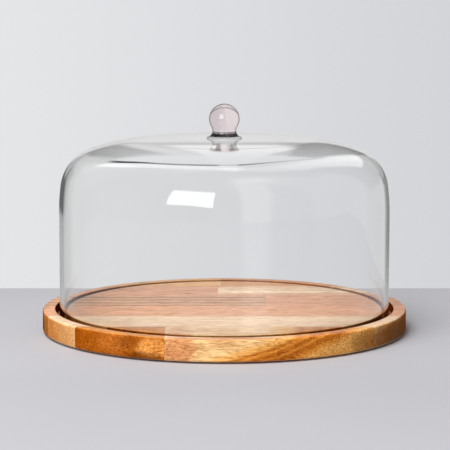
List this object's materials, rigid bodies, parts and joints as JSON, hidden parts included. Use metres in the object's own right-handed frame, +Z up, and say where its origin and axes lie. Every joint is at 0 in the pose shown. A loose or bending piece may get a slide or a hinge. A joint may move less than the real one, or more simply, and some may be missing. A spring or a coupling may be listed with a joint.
{
  "type": "cheese dome",
  "caption": "Round grooved wooden serving board with a lift-off, round-shouldered clear glass dome topped by a ball knob.",
  "frame": {"origin": "centre of the board's underside, on the surface the pads stand on", "axes": "+Z up along the common axis of the board, dome and knob; the staves run along X; -Y is the front"},
  "size_m": [0.305, 0.305, 0.1905],
  "materials": {
    "acacia_brown": "oiled, darker brown heartwood",
    "acacia_honey": "oiled, honey coloured",
    "acacia_pale": "oiled, pale sapwood",
    "acacia_tan": "oiled, pinkish tan",
    "acacia_striped": "oiled, tan with brown grain lines",
    "clear_rubber": "clear soft bumper",
    "clear_glass": "polished clear",
    "knob_glass": "polished, faint rose tint"
  },
  "bodies": {
    "board": {"stave_row1_left": "acacia_brown", "stave_row1_right": "acacia_honey", "stave_row2": "acacia_pale", "stave_row3": "acacia_tan", "stave_row4_left": "acacia_striped", "stave_row4_right": "acacia_tan", "stave_row5_left": "acacia_tan", "stave_row5_right": "acacia_pale", "stave_row6_left": "acacia_honey", "stave_row6_right": "acacia_brown", "pad_front_left": "clear_rubber", "pad_front_right": "clear_rubber", "pad_back_left": "clear_rubber", "pad_back_right": "clear_rubber"},
    "dome": {"glass_dome": "clear_glass", "glass_knob": "knob_glass"}
  },
  "joints": [
    {"name": "dome_lift", "type": "slide", "parent": "board", "child": "dome", "axis": [0, 0, 1], "range_m": [0, 0.18]}
  ]
}
